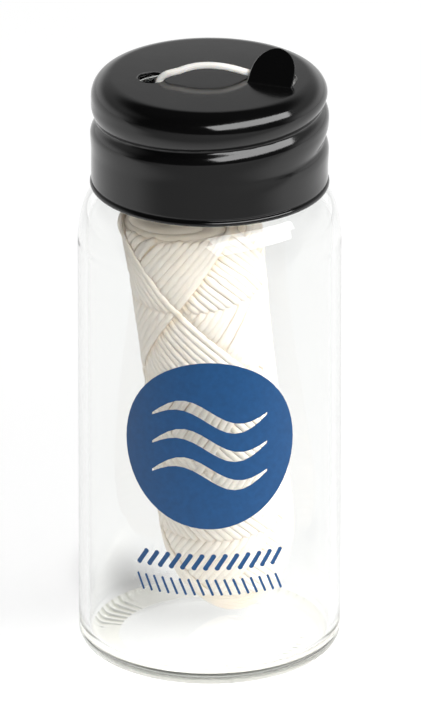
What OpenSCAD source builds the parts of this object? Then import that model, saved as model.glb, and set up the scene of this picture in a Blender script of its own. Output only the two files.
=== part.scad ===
// Refillable floss jar: a cross-wound spool stands in a glass vial, and its free end
// comes out through a hole in the screw cap and lies against a cutter bent up out of the cap.
// Z is up, the foot of the jar stands on z = 0 and the print faces -Y.

/* [Glass jar] */
// Outer diameter of the jar
jar_d = 30; // [28.5:0.5:34]
// Height of the glass from foot to rim
jar_h = 68; // [65:1:72]
// Thickness of the glass wall
jar_wall = 1.2; // [0.9:0.1:1.5]
// Thickness of the floor where it meets the wall
floor_t = 1.3; // [1:0.1:2]
// How far the floor rises towards its middle
floor_dome = 0.3; // [0:0.1:0.5]
// Depth of the hollow under the foot
foot_hollow = 0.35; // [0.2:0.05:0.6]
// Width of the ring that the jar stands on
foot_ring = 2.2; // [1.5:0.1:3]
// Radius of the rounded heel
heel_r = 2.2; // [1.6:0.1:2.8]
// Height of the rounded shoulder
shoulder_h = 6.8; // [5.5:0.1:8]
// Thickness of the glass at the top of the shoulder
shoulder_wall = 0.9; // [0.7:0.1:1.2]
// Radius where the shoulder turns up into the neck
neck_fillet = 0.7; // [0.4:0.1:0.9]
// Thickness of the glass in the neck
neck_wall = 1.5; // [1.3:0.1:1.7]
// Rounding of the rim
rim_round = 0.5; // [0.3:0.1:0.6]

/* [Thread] */
// Rise of the thread in one turn
pitch = 4; // [3.6:0.1:4.4]
// Depth of the groove rolled into the cap
groove_depth = 0.68; // [0.5:0.02:0.8]
// Height of the long flank above the groove
groove_rise = 1.95; // [1.6:0.05:2.2]
// From the groove down to the crest of the bead under it
bead_drop = 1.5; // [1.3:0.05:1.7]
// From that crest down to where the bead ends in the skirt
bead_tail = 2.2; // [1.8:0.1:2.4]
// How far the bead stands out from the skirt
swell = 0.1; // [0:0.02:0.2]
// Height of the glass thread on the neck
thread_h = 1.25; // [1:0.05:1.35]
// Width of the glass thread at its root
thread_root = 1.7; // [1.4:0.1:1.9]
// Width of the glass thread at its crest
thread_crest = 0.8; // [0.5:0.1:1]
// Height of the glass thread above the groove that runs under it
thread_over = 1.4; // [1.3:0.05:1.5]

/* [Screw cap] */
// Outer diameter of the cap
cap_d = 26.9; // [26:0.1:28]
// Height of the cap
cap_h = 13.2; // [12.6:0.1:14]
// Thickness of the sheet metal
sheet = 0.35; // [0.25:0.05:0.45]
// Radius of the cap's top edge
cap_corner = 2.4; // [2:0.1:2.8]
// Radius of the rolled hem
hem_r = 0.33; // [0.28:0.01:0.4]
// How far the hem stands out from the skirt
hem_out = 0.15; // [0.05:0.01:0.2]
// Diameter of the hole for the floss
hole_d = 3.3; // [3.1:0.05:4]
// Hole, left or right of the middle
hole_x = -6.5; // [-6.7:0.01:-6.3]
// Hole, in front of or behind the middle
hole_y = -1.05; // [-1.2:0.05:-0.9]

/* [Cutter] */
// Length of the cutter's bend line
tab_w = 5.21; // [4.5:0.01:5.5]
// Length of the cutter from its bend line to its tip
tab_l = 4.86; // [4.2:0.01:5]
// Angle of the cutter above the cap's top
tab_rise = 40.4; // [38:0.1:50]
// Left end of the bend line, left or right of the middle
tab_x = 4.26; // [3.9:0.01:4.4]
// Left end of the bend line, in front of or behind the middle
tab_y = -2.49; // [-2.7:0.01:-2.2]
// Turn of the bend line
tab_turn = -18.1; // [-20:0.1:-14]

/* [Seal] */
// Thickness of the seal ring under the cap
seal_t = 0.95; // [0.7:0.05:1.2]
// Inner diameter of the seal ring
seal_id = 18.8; // [18:0.1:19.4]

/* [Spool of floss] */
// Outer diameter of the wound spool
spool_d = 15.7; // [14.6:0.1:16.4]
// Length of the wound spool
spool_len = 58; // [56:0.5:60]
// Length of the rounded foot of the spool
nose_l = 13; // [11:0.5:14]
// Length of the rounded top of the spool
dome_l = 7; // [6:0.5:8]
// How much slimmer the spool is at mid-length
waist = 0.25; // [0:0.05:0.5]
// Diameter of the hollow in the middle of the spool
bore_d = 6.8; // [6.2:0.1:7.4]
// Depth of that hollow
bore_depth = 31; // [30:0.5:34]
// Width of the wound ribbon of strands
ribbon_w = 1.2; // [0.9:0.05:1.25]
// Thickness of the wound ribbon
ribbon_t = 0.4; // [0.3:0.02:0.42]
// Diameter of the floss
floss_d = 0.75; // [0.6:0.05:0.8]
// Side on which the foot of the spool stands, as an angle from +X
foot_side = 62.5; // [50:0.5:75]
// Side of the neck that the spool leans against, as an angle from +X
lean_side = 209; // [195:1:220]

/* [Print] */
// Diameter of the printed disc, measured round the glass
disc_d = 20.4; // [18:0.1:22]
// Height of the middle of the disc
disc_z = 30.1; // [28:0.1:32]
// Width of the two printed rows, measured round the glass
row_w = 17.4; // [15:0.1:20]
// Height of the middle of the upper row
row_1_z = 15.8; // [15.4:0.1:17]
// Height of the middle of the lower row
row_2_z = 12.7; // [11:0.1:13]
// Height of each row
row_h = 2; // [1.6:0.1:2.4]
// Thickness of the ink
ink_t = 0.06; // [0.04:0.01:0.1]

/* [Clearances] */
// Gap between the seal ring and what it lies on or under
seal_gap = 0.05; // [0.04:0.01:0.1]
// Gap between the crest of the glass thread and the cap
crest_gap = 0.45; // [0.35:0.05:0.6]
// Gap under the hem, down to the top of the shoulder
hem_gap = 0.1; // [0.05:0.05:0.4]
// Gap between the spool and the floor, and between the spool and the neck
seat_gap = 0.3; // [0.2:0.05:0.5]
// Gap between the foot of the spool and the glass wall
foot_gap = 1.9; // [1:0.1:2.2]
// Gap between two layers of the wound ribbon
layer_gap = 0.56; // [0.54:0.01:0.62]
// Gap between the core and the ribbon wound on it
core_gap = 0.16; // [0.14:0.01:0.22]
// Gap between the floss and the mouth of the hollow
floss_gap = 0.3; // [0.2:0.05:0.5]
// Gap between the glass and the ink on it
ink_gap = 0.02; // [0.01:0.01:0.04]

/* [Hidden] */
round_fn = 96;

// Heights, from the foot up
rim_z = jar_h;
seal_z = rim_z + seal_gap;
cap_in_z = seal_z + seal_t + seal_gap;
cap_top_z = cap_in_z + sheet;
cap_low_z = cap_top_z - cap_h;
shoulder_top_z = cap_low_z - hem_gap;
shoulder_low_z = shoulder_top_z - shoulder_h;
inner_top_z = shoulder_top_z - shoulder_wall;

// Radii, from the cap inwards
cap_r = cap_d / 2;
cap_in_r = cap_r - sheet;
crest_r = cap_in_r - crest_gap;
neck_r = crest_r - thread_h;
neck_in_r = neck_r - neck_wall;
jar_r = jar_d / 2;
jar_in_r = jar_r - jar_wall;
foot_in_r = jar_r - heel_r - foot_ring;
heel_in_r = heel_r - 0.4;
shoulder_top_r = neck_r + neck_fillet;
inner_top_r = neck_in_r + neck_fillet;

// The groove is a right-hand helix: angle 0 is +X, and its height there is a little below mid-skirt
groove_z = cap_low_z + 0.44 * cap_h;
groove_from = -105;
groove_to = 425;
groove_fade_in = 150;
groove_fade_out = 75;
thread_from = -290;
thread_to = 190;
thread_fade = 40;
thread_bury = 0.3;
thread_least = 0.02;
corner_z = cap_top_z - cap_corner;

// The spool leans in a plane through its foot and the neck
spool_r = spool_d / 2;
dome_s = spool_len - dome_l;
wind_t = core_gap + 2 * ribbon_t + layer_gap;
core_r = spool_r - wind_t;
foot_off = jar_in_r - spool_r - foot_gap;
foot_xy = foot_off * [cos(foot_side), sin(foot_side)];
seat_z = floor_t + floor_dome + seat_gap;
wall_off = jar_in_r - seat_gap - spool_r;
neck_edge_z = inner_top_z + neck_fillet;

function wave01(x) = (1 - cos(180 * min(max(x, 0), 1))) / 2;
function arc(c, r, from, to, n) =
    [for (i = [0:n]) let (a = from + (to - from) * i / n) c + r * [cos(a), sin(a)]];
function oval(c, a, b, from, to, n) =
    [for (i = [0:n]) let (t = from + (to - from) * i / n) c + [a * cos(t), b * sin(t)]];

// Radius of the spool at s along its axis, for a spool of radius r whose ends are drawn in by inset
function spool_at(s, r, inset) =
    s <= inset || s >= spool_len - inset ? 0
    : s < nose_l ? r * sqrt(1 - pow((nose_l - s) / (nose_l - inset), 2))
    : s > dome_s ? r * sqrt(1 - pow((s - dome_s) / (dome_l - inset), 2))
    : r - waist * (1 - cos(360 * (s - nose_l) / (dome_s - nose_l))) / 2;

// The lean settles in a few rounds, because it moves the foot and the point at the neck a little
function foot_z(lean) = seat_z + norm([nose_l * cos(lean), spool_r * sin(lean)]);
function neck_s(lean) = nose_l + (neck_edge_z - foot_z(lean)) / cos(lean);
function neck_off(lean) =
    min(neck_in_r - seat_gap - spool_at(neck_s(lean), spool_r, 0) / cos(lean), wall_off);
function neck_xy(lean) = neck_off(lean) * [cos(lean_side), sin(lean_side)];
function lean_after(rounds, lean) =
    rounds == 0 ? lean
    : lean_after(rounds - 1, atan(norm(neck_xy(lean) - foot_xy) / (neck_edge_z - foot_z(lean))));
spool_lean = lean_after(8, 9);
lean_way = neck_xy(spool_lean) - foot_xy;
spool_turn = atan2(lean_way[1], lean_way[0]);
spool_foot = [foot_xy[0], foot_xy[1], foot_z(spool_lean)];
spool_dir = [sin(spool_lean) * cos(spool_turn), sin(spool_lean) * sin(spool_turn), cos(spool_lean)];

// The mouth of the hollow opens wide enough for floss that rises on the axis of the jar
mouth_off = norm(cross([0, 0, 1], spool_foot + spool_dir * (spool_len - nose_l))) * cos(spool_lean);
mouth_r = max(bore_d / 2, mouth_off + floss_d / 2 + floss_gap);
mouth_l = 6;

// Free end of the floss: up the axis of the jar, out through the hole, over the cap to the cutter
floss_path = [
    [0, 0, 31.5], [0, 0, 34], [0, 0, 36.5], [0, 0, 39], [0, 0, 41.5], [0, 0, 44], [0, 0, 46.5],
    [0, 0, 49], [0, 0, 51.5], [0, 0, 54], [0, 0, 56.5], [0, 0, 58.6], [-0.2, -0.06, 60.2],
    [-0.65, -0.2, 61.7], [-1.3, -0.4, 63.1], [-2.1, -0.65, 64.3], [-3, -0.93, 65.3],
    [-3.88, -1.2, 66.08], [-4.68, -1.44, 66.72], [-5.23, -1.58, 67.35], [-5.63, -1.7, 68],
    [-5.81, -1.76, 68.72], [-5.72, -1.8, 69.32], [-5.43, -1.83, 69.8], [-5, -1.85, 70.13],
    [-4.5, -1.84, 70.32], [-4, -1.8, 70.44], [-3.4, -1.74, 70.58], [-2.5, -1.61, 70.85],
    [-1.4, -1.5, 71.05], [-0.1, -1.45, 71.1], [1.3, -1.47, 71], [2.6, -1.36, 70.7], [3.6, -1.14, 70.32],
    [4.45, -0.84, 69.95], [5.2, -0.58, 69.87], [5.9, -0.48, 69.75], [6.5, -0.5, 69.5]
];

// Solid between rings of points, closed at both ends; every ring has as many points
function ring_faces(n, m) = [
    for (i = [0:n - 2], j = [0:m - 1])
        let (a = i * m + j, b = i * m + (j + 1) % m)
            each [[a, b, b + m], [a, b + m, a + m]]
];
function end_faces(n, m) = [
    for (j = [1:m - 2]) each [[0, j + 1, j], [(n - 1) * m, (n - 1) * m + j, (n - 1) * m + j + 1]]
];
module swept(rings) {
    n = len(rings);
    m = len(rings[0]);
    polyhedron([for (ring = rings) each ring], concat(ring_faces(n, m), end_faces(n, m)));
}

// Outline of the glass, half section
jar_outline = concat(
    [for (k = [0:5]) [foot_in_r * k / 5, foot_hollow * (1 - pow(k / 5, 2))]],
    arc([jar_r - heel_r, heel_r], heel_r, -90, 0, 8),
    oval([shoulder_top_r, shoulder_low_z], jar_r - shoulder_top_r, shoulder_h, 0, 90, 12),
    arc([shoulder_top_r, shoulder_top_z + neck_fillet], neck_fillet, -90, -180, 4),
    arc([neck_r - rim_round, rim_z - rim_round], rim_round, 0, 90, 4),
    arc([neck_in_r + rim_round, rim_z - rim_round], rim_round, 90, 180, 4),
    arc([inner_top_r, neck_edge_z], neck_fillet, 180, 270, 4),
    oval([inner_top_r, shoulder_low_z], jar_in_r - inner_top_r, inner_top_z - shoulder_low_z, 90, 0, 12),
    arc([jar_in_r - heel_in_r, floor_t + heel_in_r], heel_in_r, 0, -90, 8),
    [for (k = [3:-1:0]) [(jar_in_r - heel_r) * k / 4, floor_t + floor_dome * wave01(1 - k / 4)]]
);

// One section of the glass thread at an angle, lowered into the neck where it fades out
function thread_section(a) =
    let (w = wave01((a - thread_from) / thread_fade) * wave01((thread_to - a) / thread_fade),
         z = groove_z + pitch * a / 360 + thread_over,
         root_r = neck_r - thread_bury,
         top_r = root_r + (thread_h + thread_bury) * w + thread_least)
        [for (p = [[root_r, -thread_root / 2], [top_r, -thread_crest / 2], [top_r, thread_crest / 2],
                   [root_r, thread_root / 2]])
            [p[0] * cos(a), p[0] * sin(a), z + p[1]]];

module glass_jar() {
    color([0.86, 0.93, 0.91, 0.4]) {
        rotate_extrude($fn = round_fn) polygon(jar_outline);
        swept([for (a = [thread_from:10:thread_to]) thread_section(a)]);
    }
}

// Depth of the rolled groove at an angle and a height, summed over its turns
function groove_weight(a) =
    wave01((a - groove_from) / groove_fade_in) * wave01((groove_to - a) / groove_fade_out);
function groove_shape(u) =
    u > 0 ? -groove_depth * pow(1 - min(u / groove_rise, 1), 2)
    : u > -bead_drop ? swell - (groove_depth + swell) * pow(1 + u / bead_drop, 2)
    : swell * wave01(1 + (u + bead_drop) / bead_tail);
function groove_at(a, z) =
    groove_weight(a - 360) * groove_shape(z - groove_z - pitch * (a - 360) / 360)
    + groove_weight(a) * groove_shape(z - groove_z - pitch * a / 360)
    + groove_weight(a + 360) * groove_shape(z - groove_z - pitch * (a + 360) / 360);

// Half section of the cap's sheet, from the top's edge down outside, round the hem and up inside
wall_steps = 16;
wall_low_z = cap_low_z + 3.6 * hem_r;
crease_in = 0.12;
crease_z = cap_low_z + 2.5 * hem_r;
function wall_line(r, from, to) = [for (i = [0:wall_steps]) [r, from + (to - from) * i / wall_steps]];
cap_outline = concat(
    arc([cap_r - cap_corner, corner_z], cap_corner, 90, 15, 5),
    wall_line(cap_r, corner_z, wall_low_z),
    [[cap_r - crease_in, crease_z]],
    arc([cap_r + hem_out - hem_r, cap_low_z + hem_r], hem_r, 50, -90, 5),
    [[cap_in_r - sheet / 7, cap_low_z + hem_r / 2]],
    wall_line(cap_in_r, wall_low_z, corner_z),
    arc([cap_r - cap_corner, corner_z], cap_corner - sheet, 18, 90, 4)
);

module cap_shell() {
    n = 54;
    m = len(cap_outline);
    sections = [for (p = cap_outline, i = [0:n - 1])
        let (a = 360 * i / n, r = p[0] + groove_at(a, p[1])) [r * cos(a), r * sin(a), p[1]]];
    last = (m - 1) * n;
    polyhedron(
        concat(sections, [[0, 0, cap_top_z], [0, 0, cap_in_z]]),
        concat(
            [for (k = [0:m - 2], i = [0:n - 1])
                let (a = k * n + i, b = k * n + (i + 1) % n) each [[a, b, b + n], [a, b + n, a + n]]],
            [for (i = [0:n - 1]) each [[m * n, (i + 1) % n, i], [m * n + 1, last + i, last + (i + 1) % n]]]
        )
    );
}

// Outline of the cutter, which lies flat before it is bent up: a D on its bend line
tab_side = 1.25;
tab_tip = 0.57;
tab_root = 0.2;
window_gap = 0.05;
tab_line = [for (i = [0:24]) let (c = cos(7.5 * i), s = sin(7.5 * i))
    [tab_w / 2 * (1 - sign(c) * pow(abs(c), tab_side)), tab_l * pow(s, tab_tip)]];
tab_foot = [[tab_w, -tab_root / 2], [0, -tab_root / 2]];

module at_bend(z) {
    translate([tab_x, tab_y, z]) rotate([0, 0, tab_turn]) children();
}

module screw_cap() {
    color([0.16, 0.16, 0.17]) {
        difference() {
            cap_shell();
            translate([hole_x, hole_y, cap_in_z - 1]) cylinder(d = hole_d, h = sheet + 2, $fn = round_fn);
            at_bend(cap_in_z - 1) linear_extrude(height = sheet + 2) intersection() {
                offset(delta = window_gap) polygon(tab_line);
                translate([-1, tab_root]) square([tab_w + 2, tab_l + 1]);
            }
        }
        at_bend(cap_top_z) rotate([tab_rise, 0, 0]) translate([0, 0, -sheet])
            linear_extrude(height = sheet) polygon(concat(tab_line, tab_foot));
    }
}

module seal_ring() {
    edge_r = cap_corner - sheet - seal_gap;
    low_a = asin((seal_z - corner_z) / edge_r);
    color([0.9, 0.9, 0.88]) rotate_extrude($fn = round_fn)
        polygon(concat([[seal_id / 2, seal_z + seal_t], [seal_id / 2, seal_z]],
                       arc([cap_r - cap_corner - 2 * seal_gap, corner_z], edge_r, low_a, 90, 5)));
}

// Puts what is drawn up its own axis, foot at 0, into the leaning place of the spool
module in_spool_place() {
    translate(spool_foot) rotate([0, spool_lean, spool_turn]) translate([0, 0, -nose_l]) children();
}

// The ribbon is wound in a wide recess between the foot and the top of the core
wind_low_s = nose_l - 7.5;
wind_high_s = dome_s + 0.8;
recess_more = ribbon_w / 2 + core_gap + 0.3;
recess_low_s = wind_low_s - recess_more;
recess_high_s = wind_high_s + recess_more;
function along(from, to, n) = [for (k = [0:n]) from + (to - from) * k / n];
core_outline = concat(
    [[0, 0]],
    [for (s = along(0.2, recess_low_s, 8)) [spool_at(s, spool_r, 0), s]],
    [for (s = along(recess_low_s, nose_l, 6)) [spool_at(s, core_r, wind_t), s]],
    [for (s = along(nose_l + 5, dome_s, 6)) [spool_at(s, core_r, wind_t), s]],
    [[spool_at(recess_high_s, core_r, wind_t), recess_high_s]],
    [for (s = along(recess_high_s, spool_len - 0.1, 8)) [spool_at(s, spool_r, 0), s]],
    [[0, spool_len]]
);

module floss_core() {
    color([0.93, 0.89, 0.82]) in_spool_place() difference() {
        rotate_extrude($fn = round_fn) polygon(core_outline);
        translate([0, 0, spool_len - bore_depth]) cylinder(d = bore_d, h = bore_depth + 1, $fn = round_fn);
        rotate_extrude($fn = round_fn)
            polygon([[0, spool_len - mouth_l], [bore_d / 2, spool_len - mouth_l], [mouth_r, spool_len - 1],
                     [mouth_r, spool_len + 1], [0, spool_len + 1]]);
    }
}

// The ribbon runs up on the lower layer and down on the upper one, and turns round in a rounded V
wind_turns = 19;
passes = 8;
rings_per_turn = 24;
wind_rings = wind_turns * rings_per_turn;
wind_from = 4;
wind_to = wind_rings - 6;
sharp = 0.98;
function wind_phase(i) = 360 * passes * i / wind_rings;
function wind_s(i) =
    let (w = asin(sharp * sin(wind_phase(i) - 90)) / asin(sharp))
        (wind_low_s + wind_high_s) / 2 + (wind_high_s - wind_low_s) / 2 * w;
function wind_layer(i) = wave01(0.5 - cos(wind_phase(i) - 90) / 0.16);
// Surface normal of the core at s, as a pair: outwards and along the axis
function core_normal(s) =
    let (d = (spool_at(s + 0.05, core_r, wind_t) - spool_at(s - 0.05, core_r, wind_t)) / 0.1)
        [1, -d] / norm([1, d]);
function wind_point(i) =
    let (s = wind_s(i), n = core_normal(s), a = 360 * i / rings_per_turn,
         h = core_gap + ribbon_t / 2 + (ribbon_t + layer_gap) * wind_layer(i),
         r = spool_at(s, core_r, wind_t) + h * n[0])
        [r * cos(a), r * sin(a), s + h * n[1]];
function wind_normal(i) =
    let (n = core_normal(wind_s(i)), a = 360 * i / rings_per_turn) [n[0] * cos(a), n[0] * sin(a), n[1]];
function unit(v) = v / norm(v);
function wind_side(i) = unit(cross(wind_normal(i), wind_point(i + 0.5) - wind_point(i - 0.5)));
function wind_section(i) =
    let (p = wind_point(i), n = wind_normal(i), b = wind_side(i), w = ribbon_w / 2, t = ribbon_t / 2)
        [p + w * b, p + 0.6 * w * b - t * n, p - 0.6 * w * b - t * n, p - w * b, p - 0.6 * w * b + t * n,
         p + 0.6 * w * b + t * n];
// Least gap between two places on the ribbon that are half a turn or more apart along it
function place_gap(p, n, q) =
    let (out = (q - p) * n) max(abs(out) - ribbon_t, norm(q - p - out * n) - ribbon_w);
function least_gap() =
    let (at = [for (i = [wind_from:wind_to]) wind_point(i)], half = rings_per_turn / 2)
        min([for (i = [0:len(at) - 1 - half])
            let (n = wind_normal(wind_from + i))
                for (j = [i + half:len(at) - 1]) if (norm(at[j] - at[i]) < 3) place_gap(at[i], n, at[j])]);

module floss_winding() {
    echo(least_gap_of_winding = least_gap());
    color([0.95, 0.92, 0.86]) in_spool_place() swept([for (i = [wind_from:wind_to]) wind_section(i)]);
}

module floss_tail() {
    n = len(floss_path);
    sides = 8;
    color([0.97, 0.97, 0.96]) swept([for (i = [0:n - 1])
        let (t = unit(floss_path[min(i + 1, n - 1)] - floss_path[max(i - 1, 0)]),
             u = unit(cross([0, 1, 0], t)) * floss_d / 2, v = cross(u, t))
            [for (k = [0:sides - 1]) floss_path[i] + cos(360 * k / sides) * u + sin(360 * k / sides) * v]]);
}

// What is drawn in the flat is wrapped on the front of the jar; x is measured round the glass
function wrap_x(x) = jar_r * sin(x / jar_r * 180 / PI);
module on_glass() {
    intersection() {
        difference() {
            cylinder(r = jar_r + ink_gap + ink_t, h = jar_h, $fn = 2 * round_fn);
            translate([0, 0, -1]) cylinder(r = jar_r + ink_gap, h = jar_h + 2, $fn = 2 * round_fn);
        }
        translate([0, -jar_r / 2, 0]) rotate([90, 0, 0]) linear_extrude(height = jar_r) children();
    }
}
function wrapped(points) = [for (p = points) [wrap_x(p[0]), p[1]]];

// Three strands that flow side by side, left clear in the disc
strand_w = 0.075 * disc_d;
strand_len = 0.66 * disc_d;
strand_gap = 0.17 * disc_d;
strand_wave = 0.07 * disc_d;
function strand_line(k, t) =
    [(t - 0.5) * strand_len, disc_z + (k - 1) * strand_gap + strand_wave * sin(360 * t)];
function strand(k) =
    let (n = 14) concat(
        [for (i = [0:n]) strand_line(k, i / n) + [0, strand_w / 2 * sin(180 * (0.06 + 0.88 * i / n))]],
        [for (i = [n:-1:0]) strand_line(k, i / n) - [0, strand_w / 2 * sin(180 * (0.06 + 0.88 * i / n))]]
    );

module printed_disc() {
    color([0.16, 0.31, 0.52]) on_glass() difference() {
        polygon(wrapped(arc([0, disc_z], disc_d / 2, 0, 354, 59)));
        for (k = [0:2]) polygon(wrapped(strand(k)));
    }
}

// A row of slanted bars with round ends
module bar_row(z, bars, bar_w, slant) {
    step = (row_w - bar_w - abs(slant)) / (bars - 1);
    rise = row_h / 2 - bar_w / 2;
    for (i = [0:bars - 1]) {
        x = (i - (bars - 1) / 2) * step;
        polygon(wrapped(concat(arc([x + slant / 2, z + rise], bar_w / 2, 0, 180, 6),
                               arc([x - slant / 2, z - rise], bar_w / 2, 180, 360, 6))));
    }
}

module printed_marks() {
    color([0.16, 0.31, 0.52]) {
        on_glass() bar_row(row_1_z, 13, 0.62, 0.9);
        on_glass() bar_row(row_2_z, 17, 0.3, -0.7);
    }
}

glass_jar();
printed_disc();
printed_marks();
screw_cap();
seal_ring();
floss_core();
floss_winding();
floss_tail();
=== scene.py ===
"""Looks of the floss jar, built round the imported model: a glass vial with a black screw cap, a
cross-wound spool inside, and the free end of the floss drawn over the cap to the cutter.

Lengths of the pieces are millimetres in the part's frame, and mesh_piece() turns them into
metres. The camera, the room, the light and the materials are in metres."""

import math

import bpy
import numpy as np
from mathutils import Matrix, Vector
from mathutils.geometry import delaunay_2d_cdt


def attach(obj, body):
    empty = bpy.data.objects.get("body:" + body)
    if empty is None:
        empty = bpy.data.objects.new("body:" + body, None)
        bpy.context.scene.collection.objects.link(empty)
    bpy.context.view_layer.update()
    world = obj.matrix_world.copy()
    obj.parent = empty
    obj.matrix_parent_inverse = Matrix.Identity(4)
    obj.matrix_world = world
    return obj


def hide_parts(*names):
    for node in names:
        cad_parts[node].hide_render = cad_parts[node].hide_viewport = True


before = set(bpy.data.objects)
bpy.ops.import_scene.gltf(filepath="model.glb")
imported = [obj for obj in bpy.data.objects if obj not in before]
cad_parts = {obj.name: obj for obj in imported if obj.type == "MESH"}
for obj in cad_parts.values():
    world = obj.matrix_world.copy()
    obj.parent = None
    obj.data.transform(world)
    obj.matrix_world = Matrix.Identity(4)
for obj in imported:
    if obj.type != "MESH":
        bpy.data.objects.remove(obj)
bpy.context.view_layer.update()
MM = 0.001
rng = np.random.default_rng(7)

# Sizes repeated from part.scad
# Jar
JAR_R, JAR_WALL, FLOOR_T, FLOOR_DOME = 15.0, 1.2, 1.3, 0.3
HEEL_R, HEEL_IN_R, FOOT_IN_R, FOOT_OUT_R, FOOT_HOLLOW = 2.2, 1.8, 10.6, 12.5, 0.35
RIM_Z, SHOULDER_TOP_Z, SHOULDER_LOW_Z, INNER_TOP_Z, NECK_EDGE_Z = 68.0, 56.1, 49.3, 55.2, 55.9
NECK_R, NECK_IN_R, NECK_FILLET, RIM_ROUND = 11.4, 9.9, 0.7, 0.5
SHOULDER_TOP_R, INNER_TOP_R = 12.1, 10.6
# Thread, and the groove that is rolled over it in the cap
PITCH, GROOVE_Z, THREAD_H, THREAD_OVER = 4.0, 62.008, 1.25, 1.4
THREAD_FROM, THREAD_TO, THREAD_FADE = -290, 190, 40
THREAD_HALF, THREAD_FLANK = 0.95, 0.55
GROOVE_DEPTH, GROOVE_RISE, BEAD_DROP, BEAD_TAIL, SWELL = 0.68, 1.95, 1.5, 2.2, 0.1
GROOVE_FROM, GROOVE_TO, GROOVE_FADE_IN, GROOVE_FADE_OUT = -105, 425, 150, 75
# Cap
CAP_R, CAP_TOP_Z, CAP_LOW_Z, CAP_CORNER, SHEET = 13.45, 69.4, 56.2, 2.4, 0.35
CAP_EDGE_R = CAP_R - CAP_CORNER
HOLE, HOLE_R = (-6.5, -1.05), 1.6
# Cutter
TAB_AT, TAB_TURN, TAB_W, TAB_L, TAB_RISE = (4.26, -2.49), -18.1, 5.21, 4.86, 40.4
TAB_SIDE, TAB_TIP = 1.25, 0.57
# Spool
SPOOL_FOOT = np.array([1.87008, 3.59239, 14.7967])
SPOOL_LEAN, SPOOL_TURN = 9.07941, -131.104
SPOOL_R, SPOOL_LEN, NOSE_L, DOME_L, WAIST = 7.85, 58.0, 13.0, 7.0, 0.25
DOME_S = SPOOL_LEN - DOME_L
BORE_R, MOUTH_R, BORE_DEPTH = 3.4, 3.94, 31.0
# Free end of the floss
FLOSS_PATH = np.array([
    [0, 0, 31.5], [0, 0, 34], [0, 0, 36.5], [0, 0, 39], [0, 0, 41.5], [0, 0, 44], [0, 0, 46.5],
    [0, 0, 49], [0, 0, 51.5], [0, 0, 54], [0, 0, 56.5], [0, 0, 58.6], [-0.2, -0.06, 60.2],
    [-0.65, -0.2, 61.7], [-1.3, -0.4, 63.1], [-2.1, -0.65, 64.3], [-3, -0.93, 65.3],
    [-3.88, -1.2, 66.08], [-4.68, -1.44, 66.72], [-5.23, -1.58, 67.35], [-5.63, -1.7, 68],
    [-5.81, -1.76, 68.72], [-5.72, -1.8, 69.32], [-5.43, -1.83, 69.8], [-5, -1.85, 70.13],
    [-4.5, -1.84, 70.32], [-4, -1.8, 70.44], [-3.4, -1.74, 70.58], [-2.5, -1.61, 70.85],
    [-1.4, -1.5, 71.05], [-0.1, -1.45, 71.1], [1.3, -1.47, 71], [2.6, -1.36, 70.7],
    [3.6, -1.14, 70.32], [4.45, -0.84, 69.95], [5.2, -0.58, 69.87], [5.9, -0.48, 69.75],
    [6.5, -0.5, 69.5]])

# Sizes of the detail that only the scene has
# Glass: how far the blown wall is out of round, and where the knurled foot begins
UNEVEN, KNURL_TOP_Z, KNURL_IN_R, KNURLS = 0.012, 1.1, 10.2, 62
# Sheet of the cap: its hem, its slightly domed top and the crease at the foot of its groove
HEM_R, HEM_OUT, TOP_DOME = 0.33, 0.15, 0.13
CREASE_H, CREASE_W = 0.07, 0.16
# Bend at the cutter's root: inner radius, radius at mid-sheet, and where the bend begins
BEND_R = 0.35
BEND_MID = BEND_R + SHEET / 2
BEND_AT = -BEND_MID * math.tan(math.radians(TAB_RISE / 2))
TOP_GRID = 0.75
# Winding: one strand goes up and down the spool 48 times, turning 300 degrees each way
WRAPS, PER_WRAP, TRAVERSE, PERIOD = 48, 250, 300.0, 120.0
TOP_S, LOW_S, FIRST_APEX = 52.0, 5.0, -34.3
STRAND_W, STRAND_T, STRAND_UNDER = 0.88, 0.4, 0.32
END_STEP, END_W, END_T, END_DEPTH = 0.74, 0.84, 0.36, 0.46
CORE_SINK = 1.0
TAIL_W, TAIL_T = 0.82, 0.4


def make_camera():
    """Camera at the photograph's angle: straight on to the print, 22.5 degrees above the horizon."""
    data = bpy.data.cameras.new("camera")
    data.sensor_fit = "AUTO"
    data.sensor_width = 36
    data.lens = 894.1
    data.clip_start, data.clip_end = 0.05, 50
    camera = bpy.data.objects.new("camera", data)
    bpy.context.scene.collection.objects.link(camera)
    up, distance, looks_at = math.radians(22.5), 2.0, Vector((0.0001, 0, 0.03526))
    back = Vector((0, -math.cos(up), math.sin(up)))
    camera.location = looks_at + back * distance
    camera.rotation_euler = (-back).to_track_quat("-Z", "Y").to_euler()
    bpy.context.scene.camera = camera


make_camera()


# Shapes in general

def unit(v):
    return v / np.maximum(np.linalg.norm(v, axis=-1, keepdims=True), 1e-12)


def ramp01(x):
    """A cosine ramp from 0 to 1."""
    return (1 - np.cos(np.pi * np.clip(x, 0, 1))) / 2


def run_along(points):
    """Length of the line from its first point to each of its points."""
    return np.concatenate([[0], np.cumsum(np.linalg.norm(np.diff(points, axis=0), axis=1))])


def mesh_piece(name, points, faces, body, replaced):
    """Makes an object from points in millimetres, hangs it on its body and hides the part it replaces."""
    mesh = bpy.data.meshes.new(name)
    mesh.from_pydata((np.asarray(points) * MM).tolist(), [], faces)
    mesh.validate()
    mesh.update()
    mesh.polygons.foreach_set("use_smooth", [True] * len(mesh.polygons))
    piece = bpy.data.objects.new(name, mesh)
    bpy.context.scene.collection.objects.link(piece)
    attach(piece, body)
    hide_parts(replaced)
    return piece


def grid_faces(rows, cols):
    """Quads between rows of points, each row closed on itself."""
    i, j = np.meshgrid(np.arange(rows - 1), np.arange(cols), indexing="ij")
    k = (j + 1) % cols
    quads = [i * cols + j, i * cols + k, (i + 1) * cols + k, (i + 1) * cols + j]
    return np.stack(quads, axis=-1).reshape(-1, 4).tolist()


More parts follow.
